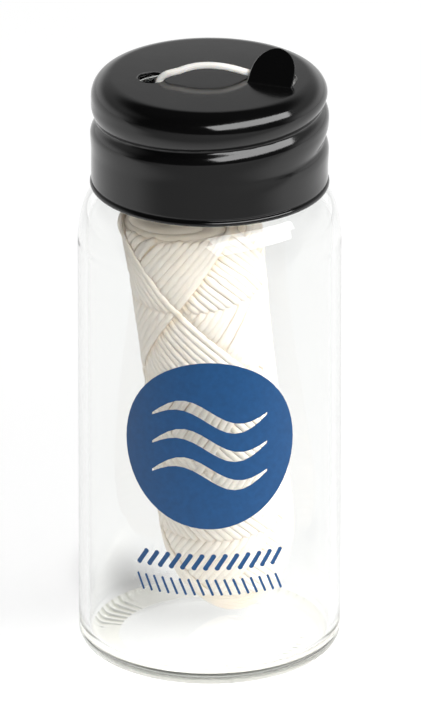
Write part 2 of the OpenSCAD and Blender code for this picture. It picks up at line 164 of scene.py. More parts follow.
def fan_faces(middle, first, cols, up):
    """Triangles from a middle point to the closed row that starts at first, facing up or down."""
    pairs = [(first + j, first + (j + 1) % cols) for j in range(cols)]
    return [[middle, j, k] if up else [middle, k, j] for j, k in pairs]


def repeated(profile, n):
    """Radii and heights of a half section, each repeated n times round."""
    return np.repeat(profile[:, :1], n, axis=1), np.repeat(profile[:, 1:], n, axis=1)


def turned(r, z, t):
    """Points at those radii and heights, turned by the angles t about Z."""
    return np.stack([r * np.cos(t), r * np.sin(t), z], axis=-1)


def arc(cx, cz, rx, rz, start, end, n):
    t = np.radians(np.linspace(start, end, n + 1))
    return np.stack([cx + rx * np.cos(t), cz + rz * np.sin(t)], axis=1)


def line(r0, z0, r1, z1, n):
    t = np.linspace(0, 1, n + 1)[:, None]
    return np.array([[r0, z0]]) * (1 - t) + np.array([[r1, z1]]) * t


def resample(points, step):
    """Evenly spaced points on a Catmull-Rom curve through the given ones."""
    p = np.vstack([2 * points[0] - points[1], points, 2 * points[-1] - points[-2]])
    fine = []
    for a, b, c, d in zip(p, p[1:], p[2:], p[3:]):
        t = np.linspace(0, 1, 24, endpoint=False)[:, None]
        bow = 2 * a - 5 * b + 4 * c - d
        fine.append(b + t / 2 * ((c - a) + t * (bow + t * (3 * b - a - 3 * c + d))))
    fine = np.vstack([*fine, points[-1:]])
    run = run_along(fine)
    count = max(int(round(run[-1] / step)), 2)
    at = np.linspace(0, run[-1], count + 1)
    return np.stack([np.interp(at, run, fine[:, k]) for k in range(fine.shape[1])], axis=1)


# Glass jar

def jar_profile():
    """Half section of the glass: from the middle of the foot out, up, over the rim and down inside."""
    in_r = JAR_R - JAR_WALL
    side_low_z, side_top_z, in_low_z = 3.4, 48.4, 4.2
    neck_low_z, neck_top_z, neck_in_low_z, neck_in_top_z = 57, 67.2, 56.4, 67
    floor_r, dome_r = 11.4, 11.6
    foot_r = np.linspace(0, FOOT_IN_R - 0.2, 26)
    return np.vstack([
        [[r, FOOT_HOLLOW * (1 - (r / FOOT_IN_R) ** 2)] for r in foot_r],
        line(FOOT_IN_R, 0.004, FOOT_OUT_R, 0, 6),
        arc(JAR_R - HEEL_R, HEEL_R, HEEL_R, HEEL_R, -88, 0, 20),
        line(JAR_R, side_low_z, JAR_R, side_top_z, 30),
        arc(SHOULDER_TOP_R, SHOULDER_LOW_Z, JAR_R - SHOULDER_TOP_R,
            SHOULDER_TOP_Z - SHOULDER_LOW_Z, 0, 88, 28),
        arc(SHOULDER_TOP_R, SHOULDER_TOP_Z + NECK_FILLET, NECK_FILLET, NECK_FILLET, -95, -180, 8),
        line(NECK_R, neck_low_z, NECK_R, neck_top_z, 68),
        arc(NECK_R - RIM_ROUND, RIM_Z - RIM_ROUND, RIM_ROUND, RIM_ROUND, 0, 90, 8),
        arc(NECK_IN_R + RIM_ROUND, RIM_Z - RIM_ROUND, RIM_ROUND, RIM_ROUND, 90, 180, 8),
        line(NECK_IN_R, neck_in_top_z, NECK_IN_R, neck_in_low_z, 12),
        arc(INNER_TOP_R, NECK_EDGE_Z, NECK_FILLET, NECK_FILLET, 180, 265, 8),
        arc(INNER_TOP_R, SHOULDER_LOW_Z, in_r - INNER_TOP_R, INNER_TOP_Z - SHOULDER_LOW_Z, 88, 0, 28),
        line(in_r, side_top_z, in_r, in_low_z, 28),
        arc(in_r - HEEL_IN_R, FLOOR_T + HEEL_IN_R, HEEL_IN_R, HEEL_IN_R, -2, -88, 16),
        [[r, FLOOR_T + FLOOR_DOME * float(ramp01(1 - r / dome_r))] for r in np.linspace(floor_r, 0, 24)]])


def thread_bump(a, z):
    """How far the glass thread stands out from the neck at an angle in degrees and a height."""
    out = np.zeros_like(z)
    for turn in (-1, 0, 1):
        b = a + 360 * turn
        fade = ramp01((b - THREAD_FROM) / THREAD_FADE) * ramp01((THREAD_TO - b) / THREAD_FADE)
        u = np.abs(z - (GROOVE_Z + PITCH * b / 360 + THREAD_OVER))
        out = np.maximum(out, fade * THREAD_H * ramp01((THREAD_HALF - u) / THREAD_FLANK))
    return out


def make_jar():
    n = 224
    profile = jar_profile()
    rows = len(profile)
    a = np.linspace(0, 360, n, endpoint=False)
    t = np.radians(a)
    r, z = repeated(profile, n)
    on_neck = (np.abs(r - NECK_R) < 0.02) & (z > 56.95) & (z < 67.3)
    r = r + np.where(on_neck, thread_bump(np.broadcast_to(a, z.shape), z), 0)
    # Blown glass is never quite round or even
    on_side = np.where((r > 12.7) & (z > 2.5) & (z < 50), 1.0, 0.0)
    r = r + on_side * UNEVEN * (np.sin(2 * t + 0.6) + 0.6 * np.sin(3 * t + z / 14.0))
    points = turned(r, z, t)
    # The first and last rows lie on the axis, so each becomes one middle point
    body = points[1:-1].reshape(-1, 3)
    low, high = len(body), len(body) + 1
    faces = grid_faces(rows - 2, n)
    faces += fan_faces(low, 0, n, False) + fan_faces(high, (rows - 3) * n, n, True)
    vertices = np.vstack([body, points[0, :1], points[-1, :1]])
    glass = mesh_piece("glass_body", vertices, faces, "jar", "glass_jar")
    centre = np.zeros(len(glass.data.polygons) * 3)
    glass.data.polygons.foreach_get("center", centre)
    x, y, z = (centre.reshape(-1, 3) / MM).T
    knurled = (z < KNURL_TOP_Z) & (np.hypot(x, y) > KNURL_IN_R)
    glass.data.polygons.foreach_set("material_index", knurled.astype(int).tolist())
    return glass


# Screw cap

def groove_shape(u):
    """The rolled groove in section: a long flank above it, a sharp foot and a full bead under it."""
    above = -GROOVE_DEPTH * np.clip(1 - u / GROOVE_RISE, 0, 1) ** 2
    v = np.clip(-u / BEAD_DROP, 0, 1)
    below = -GROOVE_DEPTH + (GROOVE_DEPTH + SWELL) * (1 - (1 - v) ** 2)
    tail = SWELL * ramp01((u + BEAD_DROP + BEAD_TAIL) / BEAD_TAIL)
    joined = np.where(u > 0, above, np.where(u > -BEAD_DROP, below, tail))
    return joined + CREASE_H * np.exp(-(u / CREASE_W) ** 2)


def groove(a, z):
    """Outward move of the rolled sheet at an angle in degrees and a height."""
    out = np.zeros_like(z)
    for turn in (-1, 0, 1):
        b = a + 360 * turn
        weight = ramp01((b - GROOVE_FROM) / GROOVE_FADE_IN) * ramp01((GROOVE_TO - b) / GROOVE_FADE_OUT)
        out = out + weight * groove_shape(z - GROOVE_Z - PITCH * b / 360)
    return out


def cap_profile():
    """Half section of the sheet round its flat top: down outside, round the hem and up inside."""
    corner_z, in_r = CAP_TOP_Z - CAP_CORNER, CAP_R - SHEET
    return np.vstack([
        arc(CAP_EDGE_R, corner_z, CAP_CORNER, CAP_CORNER, 90, 2, 20),
        line(CAP_R, corner_z - 0.1, CAP_R, CAP_LOW_Z + 0.95, 80),
        [[CAP_R - in_by, CAP_LOW_Z + up] for in_by, up in ((0.02, 0.84), (0.1, 0.765), (0.19, 0.735))],
        arc(CAP_R + HEM_OUT - HEM_R, CAP_LOW_Z + HEM_R, HEM_R, HEM_R, 78, -90, 16),
        [[in_r + 0.02, CAP_LOW_Z + 0.03], [in_r, CAP_LOW_Z + 0.2]],
        line(in_r, CAP_LOW_Z + 0.9, in_r, corner_z, 60),
        arc(CAP_EDGE_R, corner_z, CAP_CORNER - SHEET, CAP_CORNER - SHEET, 6, 90, 14)])


def tab_outline():
    """Outline of the cutter while it is still flat: a D that stands on its bend line."""
    t = np.radians(np.linspace(0, 180, 721))
    side = np.sign(np.cos(t)) * np.abs(np.cos(t)) ** TAB_SIDE
    curve = np.stack([TAB_W / 2 * (1 - side), TAB_L * np.sin(t) ** TAB_TIP], axis=1)
    run = run_along(curve)
    at = np.linspace(0, run[-1], int(run[-1] / 0.18) + 1)
    return np.stack([np.interp(at, run, curve[:, k]) for k in (0, 1)], axis=1)


def offset_loop(loop, out):
    """The loop moved outwards (or inwards) along its own normals; it runs clockwise."""
    along = unit(np.roll(loop, -1, axis=0) - np.roll(loop, 1, axis=0))
    return loop + out * np.stack([-along[:, 1], along[:, 0]], axis=1)


def from_tab(uv):
    """From the cutter's own flat (along its bend line, behind it) to x and y on the cap."""
    t = math.radians(TAB_TURN)
    u, v = uv[:, 0], uv[:, 1]
    return np.stack([TAB_AT[0] + u * math.cos(t) - v * math.sin(t),
                     TAB_AT[1] + u * math.sin(t) + v * math.cos(t)], axis=1)


def to_tab(xy):
    """The reverse of from_tab, as two rows."""
    t = math.radians(TAB_TURN)
    x, y = xy[:, 0] - TAB_AT[0], xy[:, 1] - TAB_AT[1]
    return x * math.cos(t) + y * math.sin(t), -x * math.sin(t) + y * math.cos(t)


def top_dome(x, y):
    return TOP_DOME * np.clip(1 - (x * x + y * y) / CAP_EDGE_R ** 2, 0, 1)


def inside_loop(p, loop):
    hit = np.zeros(len(p), bool)
    for (x0, y0), (x1, y1) in zip(loop, np.roll(loop, -1, axis=0)):
        crosses = (y0 > p[:, 1]) != (y1 > p[:, 1])
        slope = (x1 - x0) * (p[:, 1] - y0) / (y1 - y0 if y1 != y0 else 1e-12) + x0
        hit ^= crosses & (p[:, 0] < slope)
    return hit


def clear_of(p, loop, gap):
    return np.min(np.linalg.norm(p[:, None, :] - loop[None, :, :], axis=2), axis=1) > gap


def nearest(points, among):
    return np.argmin(np.linalg.norm(points[:, None, :] - among[None, :, :], axis=2), axis=1)


def top_points(loop, hole_edge):
    """Points inside the flat top: close rings round each cut, rings round the middle, and the
    cutter's own rows, which lie closer together across its bend."""
    rounds = [np.zeros((1, 2))]
    for ring_r in np.arange(0.8, CAP_EDGE_R - 0.3, TOP_GRID):
        b = np.linspace(0, 2 * math.pi, max(int(2 * math.pi * ring_r / TOP_GRID), 8), endpoint=False)
        rounds.append(np.stack([ring_r * np.cos(b), ring_r * np.sin(b)], axis=1))
    rounds = np.vstack(rounds)
    u, v = to_tab(rounds)
    by_tab = (u > -0.5) & (u < TAB_W + 0.5) & (v > -0.7) & (v < TAB_L + 0.5)
    by_hole = np.hypot(rounds[:, 0] - HOLE[0], rounds[:, 1] - HOLE[1]) <= HOLE_R + 0.6
    rounds = rounds[~by_tab & ~by_hole]
    across = [-0.16, -0.12, -0.08, -0.04, 0, 0.04, 0.08, 0.12, 0.16, 0.24, 0.4, 0.7]
    rows = [[u, v] for v in across for u in np.linspace(0.1, TAB_W - 0.1, 20)]
    rows += [[u, v] for v in np.arange(1.1, TAB_L, 0.45) for u in np.linspace(0.2, TAB_W - 0.2, 12)]
    rows = np.array(rows)
    rows = rows[inside_loop(rows, loop)]
    rows = rows[clear_of(rows, loop, 0.15)]
    near_edge = offset_loop(loop, -0.08)
    near_edge = near_edge[inside_loop(near_edge, loop) & clear_of(near_edge, loop, 0.05)]
    # The close rings keep the shading local at the hole, at the window and on the cutter's edge
    near_hole = [np.array(HOLE) + (HOLE_R + grow) * hole_edge for grow in (0.17, 0.4)]
    near_window = [from_tab(offset_loop(loop, out)) for out in (0.08, 0.3)]
    return np.vstack([*near_hole, *near_window, rounds, from_tab(np.vstack([rows, near_edge]))])


def cut_top(rings, fill):
    """The flat top as triangles whose edges follow the rings; gives points and triangles."""
    edges, at = [], 0
    for ring in rings:
        k = len(ring)
        edges += [(at + i, at + (i + 1) % k) for i in range(k)]
        at += k
    made = delaunay_2d_cdt([Vector(p) for p in np.vstack([*rings, fill]).tolist()], edges, [], 0, 1e-6)
    return np.array([[v.x, v.y] for v in made[0]]), [list(f) for f in made[2]]


def flat_top(flat, off):
    """Top (off = 0) or underside (off = SHEET) of the flat part, with its slight dome."""
    return np.column_stack([flat, CAP_TOP_Z - off + top_dome(flat[:, 0], flat[:, 1])])


def bent_up(flat, off):
    """The cutter's points, bent up about its bend line."""
    u, v = to_tab(flat)
    rise = math.radians(TAB_RISE)
    angle = np.clip((v - BEND_AT) / BEND_MID, 0, rise)
    rest = np.maximum(v - BEND_AT - BEND_MID * rise, 0)
    r = BEND_R + off
    back = BEND_AT + r * np.sin(angle) + rest * math.cos(rise)
    up = BEND_R - r * np.cos(angle) + rest * math.sin(rise)
    root_up = top_dome(*from_tab(np.stack([u, np.full_like(u, BEND_AT)], axis=1)).T)
    return np.column_stack([from_tab(np.stack([u, back], axis=1)), CAP_TOP_Z + root_up + up])


def make_cap():
    n, hole_n = 256, 64
    a = np.linspace(0, 360, n, endpoint=False)
    t = np.radians(a)
    profile = cap_profile()
    rows = len(profile)
    r, z = repeated(profile, n)
    wall = turned(r + groove(np.broadcast_to(a, z.shape), z), z, t).reshape(-1, 3)
    faces = [f[::-1] for f in grid_faces(rows, n)]
    # The flat top: outer edge, hole and cutter are cut out of one flat pattern
    h = np.radians(np.linspace(0, 360, hole_n, endpoint=False))
    hole_edge = np.stack([np.cos(h), np.sin(h)], axis=1)
    hole_wide_r = HOLE_R + 0.1
    outline = np.vstack([[[0.0, BEND_AT]], tab_outline(), [[TAB_W, BEND_AT]]])
    bend = np.stack([np.linspace(TAB_W, 0, 16)[1:-1], np.full(14, BEND_AT)], axis=1)
    loop = np.vstack([outline, bend])
    rings = [CAP_EDGE_R * np.stack([np.cos(t), np.sin(t)], axis=1),
             np.array(HOLE) + hole_wide_r * hole_edge, from_tab(loop)]
    flat, triangles = cut_top(rings, top_points(loop, hole_edge))
    centres = np.array([flat[f].mean(axis=0) for f in triangles])
    in_rim = np.hypot(centres[:, 0], centres[:, 1]) < CAP_EDGE_R
    in_hole = np.hypot(centres[:, 0] - HOLE[0], centres[:, 1] - HOLE[1]) < hole_wide_r * 0.9985
    in_tab = inside_loop(centres, from_tab(loop))
    rim_i, hole_i, loop_i = (nearest(ring, flat).tolist() for ring in rings)
    n_out = len(outline)

    # Four copies of the flat points: the top, its underside, and both sides of the cutter
    blocks = [wall, flat_top(flat, 0), flat_top(flat, SHEET), bent_up(flat, 0), bent_up(flat, SHEET)]
    at_top, at_under, at_out, at_in = (len(wall) + k * len(flat) for k in range(4))
    on_bend = {*loop_i[n_out:], loop_i[0], loop_i[n_out - 1]}
    on_rim = {v: j for j, v in enumerate(rim_i)}

    def top_id(i, under):
        if i in on_rim:
            return ((rows - 1) * n if under else 0) + on_rim[i]
        return (at_under if under else at_top) + i

    def tab_id(i, under):
        if i in on_bend:
            return top_id(i, under)
        return (at_in if under else at_out) + i

    for f, ring, hole, tab in zip(triangles, in_rim, in_hole, in_tab):
        if ring and not hole:
            ids = tab_id if tab else top_id
            faces.append([ids(i, False) for i in f])
            faces.append([ids(i, True) for i in f[::-1]])
    # Cut edges of the window, which are bare steel, and of the cutter
    steel_from = len(faces)
    edge = list(zip(loop_i[:n_out - 1], loop_i[1:n_out]))
    faces += [[top_id(i, False), top_id(j, False), top_id(j, True), top_id(i, True)] for i, j in edge]
    steel_to = len(faces)
    faces += [[tab_id(j, False), tab_id(i, False), tab_id(i, True), tab_id(j, True)] for i, j in edge]
    # The edge of the hole is rounded in, so that it doesn't fray the floss
    count = len(wall) + 4 * len(flat)
    hole_rings = [[top_id(i, False) for i in hole_i]]
    for grow, down in ((0.06, 0.006), (0.025, 0.025), (0.005, 0.055), (0, 0.09), (0, 0.28),
                       (0.02, 0.335), (0.06, 0.35)):
        xy = np.array(HOLE) + (HOLE_R + grow) * hole_edge
        blocks.append(flat_top(xy, 0) - [0, 0, down])
        hole_rings.append(list(range(count, count + hole_n)))
        count += hole_n
    hole_rings.append([top_id(i, True) for i in hole_i])
    for one, two in zip(hole_rings, hole_rings[1:]):
        faces += [[one[(j + 1) % hole_n], one[j], two[j], two[(j + 1) % hole_n]] for j in range(hole_n)]
    points = np.vstack(blocks)
    used = np.unique(np.concatenate([np.array(f) for f in faces]))
    new = np.full(len(points), -1)
    new[used] = np.arange(len(used))
    faces = [[int(new[i]) for i in f] for f in faces]
    cap = mesh_piece("cap_sheet", points[used], faces, "cap", "screw_cap")
    if len(cap.data.polygons) == len(faces):
        steel = np.zeros(len(faces), int)
        steel[steel_from:steel_to] = 1
        cap.data.polygons.foreach_set("material_index", steel.tolist())
        cap.data.polygons.foreach_set("use_smooth", (steel == 0).tolist())
    return cap


# Spool of floss

def in_spool_place(points):
    """From the spool's own upright frame, foot at s = 0, to its leaning place in the jar."""
    lean, turn = math.radians(SPOOL_LEAN), math.radians(SPOOL_TURN)
    cl, sl, ct, st = math.cos(lean), math.sin(lean), math.cos(turn), math.sin(turn)
    about_z = np.array([[ct, -st, 0], [st, ct, 0], [0, 0, 1]])
    about_y = np.array([[cl, 0, sl], [0, 1, 0], [-sl, 0, cl]])
    return (points - [0, 0, NOSE_L]) @ (about_z @ about_y).T + SPOOL_FOOT


def spool_at(s):
    """Radius of the wound spool at a height s on its axis."""
    nose = SPOOL_R * np.sqrt(np.clip(1 - ((NOSE_L - s) / NOSE_L) ** 2, 0, 1))
    dome = SPOOL_R * np.sqrt(np.clip(1 - ((s - DOME_S) / DOME_L) ** 2, 0, 1))
    middle = SPOOL_R - WAIST * (1 - np.cos(2 * np.pi * (s - NOSE_L) / (DOME_S - NOSE_L))) / 2
    return np.where(s < NOSE_L, nose, np.where(s > DOME_S, dome, middle))


def surface_normal(s):
    """Outward and upward parts of the normal to the spool's side at s."""
    low, high = 0.05, SPOOL_LEN - 0.05
    d = (spool_at(np.clip(s + 0.05, low, high)) - spool_at(np.clip(s - 0.05, low, high))) / 0.1
    return unit(np.stack([np.ones_like(d), -d], axis=1))


def on_spool(s, a, depth, least_r=0.0):
    """Points at a depth under the spool's side, and the directions that face out there."""
    n = surface_normal(s)
    r = np.maximum(spool_at(s) - depth * n[:, 0], least_r)
    path = np.column_stack([r * np.cos(a), r * np.sin(a), s - depth * n[:, 1]])
    return path, np.column_stack([n[:, 0] * np.cos(a), n[:, 0] * np.sin(a), n[:, 1]])


def wrap_height(turned_by):
    """Height on the spool, at an angle turned from the top of a wrap, 0 to TRAVERSE degrees."""
    upper = TOP_S - (np.hypot(turned_by, 4.0) - 4.0) / 6.15
    lower = LOW_S + (np.hypot(TRAVERSE - turned_by, 7.0) - 7.0) / 6.6
    k = ramp01((turned_by - 110) / 80)
    return upper * (1 - k) + lower * k


def smooth_along(x, width):
    k = np.exp(-np.linspace(-2, 2, 2 * int(width) + 1) ** 2)
    k /= k.sum()
    return np.convolve(np.pad(x, len(k) // 2, mode="edge"), k, mode="valid")


def strand(name, path, out, wide, thick, painted_depth_shade, replaced, body="spool"):
    """A rounded ribbon along path, whose flat side faces out. The material reads two attributes:
    how far a strand lies above the others, from which it paints shade on the strands that lie
    deeper, and run, the length along and place across it."""
    sides, rows = 8, len(path)
    along = unit(np.gradient(path, axis=0))
    normal = unit(out - (out * along).sum(axis=1, keepdims=True) * along)
    side = np.cross(along, normal)
    t = np.radians(np.arange(sides) * 360 / sides)
    c, s = np.cos(t), np.sin(t)
    # A superellipse: flatter than an ellipse on top, rounder at its edges
    w = (np.sign(c) * np.abs(c) ** 0.85) * (wide * np.ones(rows))[:, None] / 2
    h = (np.sign(s) * np.abs(s) ** 0.85) * (thick * np.ones(rows))[:, None] / 2
    points = path[:, None, :] + w[..., None] * side[:, None, :] + h[..., None] * normal[:, None, :]
    points = points.reshape(-1, 3)
    faces = grid_faces(rows, sides)
    faces += [list(range(sides))[::-1], [(rows - 1) * sides + j for j in range(sides)]]
    if body == "spool":
        points = in_spool_place(points)
    piece = mesh_piece(name, points, faces, body, replaced)
    shade = np.repeat(np.clip(painted_depth_shade * np.ones(rows), 0, 1), sides)
    colour = piece.data.color_attributes.new("painted_depth_shade", "FLOAT_COLOR", "POINT")
    colour.data.foreach_set("color", np.column_stack([shade] * 3 + [np.ones_like(shade)]).reshape(-1))
    across = np.abs(np.arange(sides) / sides * 2 - 1)
    vertex_uv = np.stack([np.repeat(run_along(path), sides), np.tile(across, rows)], axis=1)
    index = np.empty(len(piece.data.loops), int)
    piece.data.loops.foreach_get("vertex_index", index)
    piece.data.uv_layers.new(name="run").data.foreach_set("uv", vertex_uv[index].reshape(-1))
    return piece


def wind_strands():
    """All wraps as one unbroken strand; the later of two crossing strands lies on top."""
    total = WRAPS * PER_WRAP
    at = (np.arange(total) + 0.5) / PER_WRAP
    wrap = np.floor(at)
    phase = (at - wrap - 0.5) * 2 * TRAVERSE
    turned_by = np.abs(phase)
    # The apex moves on by a small step while the strand turns round at the foot
    into = np.where(phase > 0, ramp01((phase - TRAVERSE + 25) / 50),
                    ramp01((phase + TRAVERSE + 25) / 50) - 1)
    moved = (wrap + into) * PERIOD / WRAPS
    jitter = np.interp(at, np.arange(WRAPS) + 0.5, rng.normal(0, 1, WRAPS))
    azimuth = FIRST_APEX + wrap * 2 * TRAVERSE + moved + 0.8 * jitter + phase
    near_top = ramp01((40 - turned_by) / 40)
    s = wrap_height(turned_by) + 0.22 * np.repeat(rng.normal(0, 1, WRAPS), PER_WRAP) * near_top
    # The last turns lie higher and further out
    last_turns = ramp01((wrap - WRAPS + 3.5) / 2) * near_top
    s = s + 0.5 * last_turns
    # Which strand of the other family lies here, and was it wound later?
    other = np.where(phase > 0, azimuth + turned_by, azimuth - turned_by)
    other_moved = np.mod(other - FIRST_APEX, PERIOD)
    over = smooth_along(np.where(moved > other_moved, 1.0, 0.0), PER_WRAP / 113.0)
    wide = STRAND_W + 0.06 * smooth_along(rng.normal(0, 1, total), 6)
    depth = STRAND_T / 2 + (1 - over) * STRAND_UNDER + 0.03 * smooth_along(rng.normal(0, 1, total), 8)
    path, out = on_spool(s, np.radians(azimuth), depth - 0.35 * last_turns)
    half = total // 2
    parts = {"wound_strands_1": slice(0, half + 1), "wound_strands_2": slice(half, total)}
    return [strand(name, path[part], out[part], wide[part], STRAND_T, over[part], "floss_winding")
            for name, part in parts.items()]


def end_turns():
    """The turns that close the dome and the nose, wound round and round. The dome's stop short
    of the hollow's mouth, where the free end of the floss comes out."""
    pieces = []
    for name, s_from, s_to in (("dome_turns", 51.2, 56.55), ("nose_turns", 6.2, 0.25)):
        s_line = np.linspace(s_from, s_to, 4000)
        run = run_along(np.column_stack([s_line, spool_at(s_line)]))
        turns = run[-1] / END_STEP
        count = int(turns * 60)
        s = np.interp(np.linspace(0, run[-1], count), run, s_line)
        a = 2 * np.pi * turns * np.linspace(0, 1, count) + 0.4
        s = s + 0.12 * np.sin(a + 0.7) * np.clip(np.abs(57.9 - s), 0, 1) * np.clip(s / 3, 0, 1)
        path, out = on_spool(s, a, END_DEPTH, 0.2)
        # The end turns are coloured half way between the deep and the top colour: painted shade
        pieces.append(strand(name, path, out, END_W, END_T, 0.55, "floss_core"))
    return pieces


def make_core():
    """The inner layers, seen only in the gaps between strands and down the hollow."""
    n = 96
    s = np.concatenate([np.linspace(0.4, NOSE_L, 26), np.linspace(15, 49, 16), np.linspace(DOME_S, 57, 16)])
    normal = surface_normal(s)
    side = np.stack([np.maximum(spool_at(s) - CORE_SINK * normal[:, 0], 0.3),
                     s - CORE_SINK * normal[:, 1]], axis=1)
    mouth = np.array([[MOUTH_R + 0.35, 56.6], [MOUTH_R + 0.02, 56.7], [MOUTH_R - 0.1, 56.2]])
    flare = line(np.interp(56, [52, 57], [BORE_R, MOUTH_R]), 56, BORE_R, 52, 7)
    deep = line(BORE_R, 51.5, BORE_R, SPOOL_LEN - BORE_DEPTH, 60)
    # Turns inside the hollow show as faint ridges
    deep[:, 0] -= 0.08 * (np.sin(deep[:, 1] * 9.0) + 1)
    profile = np.vstack([side, mouth, flare, deep])
    points = turned(*repeated(profile, n), np.radians(np.linspace(0, 360, n, endpoint=False)))
    points = points.reshape(-1, 3)
    faces = grid_faces(len(profile), n)
    faces += fan_faces(len(points), 0, n, False)
    faces += fan_faces(len(points) + 1, (len(profile) - 1) * n, n, True)
    points = np.vstack([points, [[0, 0, profile[0, 1] - 0.05]], [[0, 0, profile[-1, 1]]]])
    return mesh_piece("wound_core", in_spool_place(points), faces, "spool", "floss_core")


def make_tail():
    """The free end: a flat waxed ribbon, and the scene's only cord."""
    path = resample(FLOSS_PATH, 0.2)
    out = np.tile([0.25, -1.0, 0.3], (len(path), 1))
    piece = strand("floss_end", path, out, TAIL_W, TAIL_T, 1, "floss_tail", "cap")
    return piece


# Materials

def material(name, **values):
    """A Principled material with its constants on the shader's own sockets."""
    mat = bpy.data.materials.new(name)
    mat.use_nodes = True
    shader = mat.node_tree.nodes["Principled BSDF"]
    for key, value in values.items():
        shader.inputs[key.replace("_", " ")].default_value = value
    return mat, mat.node_tree, shader


def add(tree, kind, links=(), **values):
    """A node with its values set and its inputs linked; gives the node."""
    node = tree.nodes.new(kind)
    for key, value in values.items():
        if key in node.inputs:
            node.inputs[key].default_value = value
        else:
            setattr(node, key, value)
    for key, source in dict(links).items():
        tree.links.new(source, node.inputs[key])
    return node


def bump(tree, shader, height, strength, distance):
    node = add(tree, "ShaderNodeBump", {"Height": height}, Strength=strength, Distance=distance)
    tree.links.new(node.outputs["Normal"], shader.inputs["Normal"])


def where(tree, coordinates="Object"):
    return add(tree, "ShaderNodeTexCoord").outputs[coordinates]


def noise(tree, scale, detail, vector=None):
    links = {"Vector": where(tree) if vector is None else vector}
    return add(tree, "ShaderNodeTexNoise", links, Scale=scale, Detail=detail).outputs["Fac"]


def fibres(tree, stretch):
    """Noise that is drawn out along a strand."""
    return noise(tree, 1.0, 4.0, add(tree, "ShaderNodeMapping", {"Vector": where(tree, "UV")},
                                     Scale=stretch).outputs["Vector"])


def ramp(tree, value, *stops):
    """Colours that run from one stop to the next; each stop is a place and its colour."""
    node = add(tree, "ShaderNodeValToRGB", {"Fac": value})
    for element, (at, colour) in zip(node.color_ramp.elements, stops):
        element.position = at
        element.color = (*colour, 1)
    return node.outputs["Color"]


def calculate(tree, operation, one, two=None):
    """A sum on one or two outputs; the second may be a number."""
    node = add(tree, "ShaderNodeMath", {0: one}, operation=operation)
    if isinstance(two, (int, float)):
        node.inputs[1].default_value = two
    elif two is not None:
        tree.links.new(two, node.inputs[1])
    return node.outputs[0]


def step_between(tree, value, low, high, at_low, at_high):
    """A soft step from at_low to at_high while the value goes from low to high."""
    return add(tree, "ShaderNodeMapRange", {"Value": value}, **{
        "interpolation_type": "SMOOTHSTEP", "From Min": low, "From Max": high,
        "To Min": at_low, "To Max": at_high}).outputs[0]


def glass_material():
    mat, tree, shader = material("clear_glass", Base_Color=(0.955, 0.958, 0.953, 1), Roughness=0.0,
                                 IOR=1.5, Transmission_Weight=1.0)
    tint = add(tree, "ShaderNodeVolumeAbsorption", Color=(0.78, 0.93, 0.8, 1), Density=6.0)
    tree.links.new(tint.outputs["Volume"], tree.nodes["Material Output"].inputs["Volume"])
    return mat


def foot_material():
    """The bearing ring under the foot is knurled in patches, and scatters light."""
    mat, tree, shader = material("knurled_glass", Roughness=0.3, IOR=1.5, Transmission_Weight=0.6)
    round_z = add(tree, "ShaderNodeTexGradient", {"Vector": where(tree)}, gradient_type="RADIAL")
    wave = calculate(tree, "SINE", calculate(tree, "MULTIPLY", round_z.outputs["Fac"],
                                             KNURLS * 2 * math.pi))
    patch = step_between(tree, noise(tree, 75, 1.0), 0.5, 0.66, 0.0, 1.0)
    deep = calculate(tree, "MULTIPLY", wave, patch)
    # Where the knurls run deepest the colour goes to a darker olive: painted shade in the knurls
    tree.links.new(ramp(tree, deep, (0.1, (0.93, 0.92, 0.85)), (0.9, (0.5, 0.5, 0.4))),
                   shader.inputs["Base Color"])
    bump(tree, shader, deep, 0.5, 0.0001)
    return mat


def enamel_material():
    mat, tree, shader = material("black_enamel", Base_Color=(0.003, 0.003, 0.0031, 1),
                                 Roughness=0.13, IOR=1.5)
    bump(tree, shader, noise(tree, 2600, 3.0), 0.1, 0.00004)
    tree.links.new(ramp(tree, noise(tree, 300, 4.0), (0.35, (0.1,) * 3), (0.7, (0.15,) * 3)),
                   shader.inputs["Roughness"])
    return mat


def steel_material():
    mat, tree, shader = material("cut_steel", Base_Color=(0.62, 0.61, 0.6, 1), Metallic=1.0,
                                 Roughness=0.35)
    bump(tree, shader, noise(tree, 4000, 2.0), 0.2, 0.00003)
    return mat


def ink_material():
    mat, tree, shader = material("blue_ink", Base_Color=(0.028, 0.085, 0.235, 1), Roughness=0.32,
                                 IOR=1.5)
    dark, pale = (0.001, 0.062, 0.195), (0.003, 0.077, 0.235)
    tree.links.new(ramp(tree, noise(tree, 1500, 4.0), (0.3, dark), (0.75, pale)),
                   shader.inputs["Base Color"])
    bump(tree, shader, noise(tree, 3000, 3.0), 0.12, 0.00004)
    return mat


def foam_material():
    mat, tree, shader = material("seal_foam", Base_Color=(0.8, 0.8, 0.78, 1), Roughness=0.75)
    bump(tree, shader, noise(tree, 5000, 3.0), 0.4, 0.00005)
    return mat


def floss_material(name, low, high):
    """Waxed fibre; low is the colour of strands that lie deep, darker as painted shade, high of those on
    top.
    """
    mat, tree, shader = material(
        name, Roughness=0.5, IOR=1.46, Sheen_Weight=0.15, Sheen_Roughness=0.4,
        Subsurface_Weight=0.25, Subsurface_Radius=(1.0, 0.8, 0.6), Subsurface_Scale=0.0004)
    # How far each strand lies above the others: the deeper ones get the darker low colour, as painted shade
    painted_depth_shade = add(tree, "ShaderNodeVertexColor", layer_name="painted_depth_shade").outputs["Color"]
    streaks = ramp(tree, fibres(tree, (0.7, 9.0, 1)), (0.25, (0.94, 0.93, 0.92)), (0.6, (1, 1, 1)))
    # In a colour mix the factor is input 0, the colours are 6 and 7, and the result is output 2
    mix = add(tree, "ShaderNodeMix", {6: ramp(tree, painted_depth_shade, (0.0, low), (1.0, high)), 7: streaks},
              data_type="RGBA", blend_type="MULTIPLY")
    mix.inputs[0].default_value = 1.0
    tree.links.new(mix.outputs[2], shader.inputs["Base Color"])
    bump(tree, shader, fibres(tree, (1.6, 12.0, 1)), 0.35, 0.00006)
    return mat


